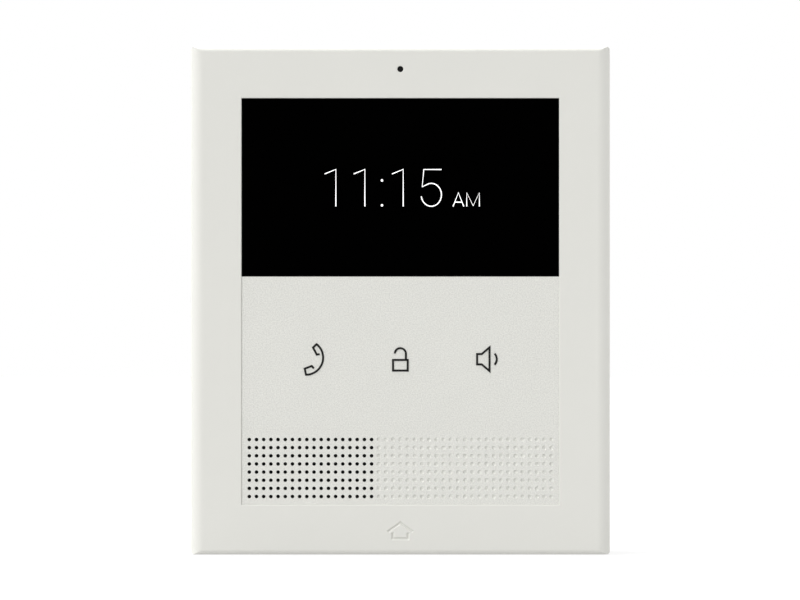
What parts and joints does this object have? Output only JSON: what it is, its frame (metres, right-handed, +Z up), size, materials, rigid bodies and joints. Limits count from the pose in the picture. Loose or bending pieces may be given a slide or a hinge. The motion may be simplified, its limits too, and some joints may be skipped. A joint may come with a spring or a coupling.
{
  "type": "video intercom monitor",
  "caption": "Wall-hung indoor intercom monitor: black display over a grained key panel with three touch symbols, loudspeaker grille, rear connector bay and steel bracket.",
  "frame": {"origin": "on the wall, in the middle of the wall bracket's screw pattern", "axes": "+X to the right and +Z up as seen from the front; the display faces -Y"},
  "size_m": [0.126, 0.028, 0.1526],
  "materials": {
    "cover_plastic": "satin off-white moulding",
    "panel_plastic": "fine-grained off-white moulding",
    "lens_black": "polished black window",
    "icon_ink": "dark translucent symbol",
    "mesh_cloth": "black acoustic cloth",
    "foam": "closed-cell foam",
    "rubber": "soft moulded",
    "display_glass": "dark display stack",
    "tin_steel": "tin-plated sheet",
    "zinc_steel": "zinc-plated",
    "black_plastic": "moulded",
    "white_plastic": "moulded",
    "clear_plastic": "clear light guide",
    "board_green": "solder-masked laminate",
    "board_white": "white solder-masked laminate",
    "flex_amber": "polyimide flexible cable",
    "chip_black": "moulded package",
    "magnet": "nickel-plated magnet",
    "diaphragm": "thin film",
    "copper_coil": "lacquered copper wire",
    "lead_jacket": "insulated wire",
    "gold_contact": "gold-plated",
    "terminal_green": "moulded terminal",
    "capacitor_can": "drawn can",
    "ferrite": "ferrite and bobbin",
    "label_silver": "blank plate"
  },
  "bodies": {
    "bracket": {"wall_bracket": "zinc_steel"},
    "monitor": {"backlight_unit": "white_plastic", "board_connectors": "white_plastic", "board_screws": "zinc_steel", "call_icon": "icon_ink", "capacitors": "capacitor_can", "cover_screws": "zinc_steel", "display_holder": "black_plastic", "display_lens": "lens_black", "front_cover": "cover_plastic", "grille_mesh": "mesh_cloth", "header_pins": "tin_steel", "holder_screws": "zinc_steel", "jack_contacts": "gold_contact", "key_leds": "white_plastic", "key_light_guides": "clear_plastic", "key_panel": "panel_plastic", "lcd_bezel": "tin_steel", "lcd_flex": "flex_amber", "lcd_panel": "display_glass", "lens_gasket": "foam", "lock_icon": "icon_ink", "main_board": "board_green", "memory_chips": "chip_black", "mic_boot": "rubber", "mic_capsule": "tin_steel", "mic_leads": "lead_jacket", "network_jack_insert": "black_plastic", "network_jack_shell": "tin_steel", "network_transformer": "chip_black", "power_inductor": "ferrite", "power_transformer": "ferrite", "processor": "chip_black", "rating_label": "label_silver", "rear_cover": "cover_plastic", "reset_switch": "tin_steel", "retainer_screws": "zinc_steel", "speaker_basket": "black_plastic", "speaker_gasket": "foam", "speaker_leads": "lead_jacket", "speaker_magnet": "magnet", "speaker_retainer": "black_plastic", "speaker_surround": "rubber", "speaker_top_plate": "zinc_steel", "speaker_yoke": "zinc_steel", "terminal_headers": "terminal_green", "touch_board": "board_white", "touch_board_flex": "flex_amber", "touch_board_screws": "zinc_steel", "volume_icon": "icon_ink"},
    "diaphragm": {"speaker_cone": "diaphragm", "voice_coil": "copper_coil"},
    "reset_key": {"reset_button": "black_plastic"},
    "power_connector": {"power_plug": "terminal_green"},
    "bell_connector": {"bell_plug": "terminal_green"},
    "power_clamp_left": {"power_clamp_screw_left": "zinc_steel"},
    "power_clamp_right": {"power_clamp_screw_right": "zinc_steel"},
    "bell_clamp_left": {"bell_clamp_screw_left": "zinc_steel"},
    "bell_clamp_right": {"bell_clamp_screw_right": "zinc_steel"}
  },
  "joints": [
    {"name": "unit_lift", "type": "slide", "parent": "bracket", "child": "monitor", "axis": [0, 0, 1], "range_m": [0, 0.005]},
    {"name": "cone_travel", "type": "slide", "parent": "monitor", "child": "diaphragm", "axis": [0, -1, 0], "range_m": [-0.0005, 0.0005], "stiffness_N_per_m": 500, "deforming": ["speaker_surround"]},
    {"name": "reset_press", "type": "slide", "parent": "monitor", "child": "reset_key", "axis": [0, -1, 0], "range_m": [0, 0.0003], "stiffness_N_per_m": 4000},
    {"name": "power_plug_pull", "type": "slide", "parent": "monitor", "child": "power_connector", "axis": [0, 0, -1], "range_m": [0, 0.008]},
    {"name": "bell_plug_pull", "type": "slide", "parent": "monitor", "child": "bell_connector", "axis": [0, 0, -1], "range_m": [0, 0.008]},
    {"name": "power_clamp_left_turn", "type": "hinge", "parent": "power_connector", "child": "power_clamp_left", "pos_m": [0.0031, -0.0052, -0.001], "axis": [0, 1, 0], "range_deg": [0, 720]},
    {"name": "power_clamp_right_turn", "type": "hinge", "parent": "power_connector", "child": "power_clamp_right", "pos_m": [0.0069, -0.0052, -0.001], "axis": [0, 1, 0], "range_deg": [0, 720]},
    {"name": "bell_clamp_left_turn", "type": "hinge", "parent": "bell_connector", "child": "bell_clamp_left", "pos_m": [0.01709, -0.0052, -0.001], "axis": [0, 1, 0], "range_deg": [0, 720]},
    {"name": "bell_clamp_right_turn", "type": "hinge", "parent": "bell_connector", "child": "bell_clamp_right", "pos_m": [0.0209, -0.0052, -0.001], "axis": [0, 1, 0], "range_deg": [0, 720]}
  ]
}
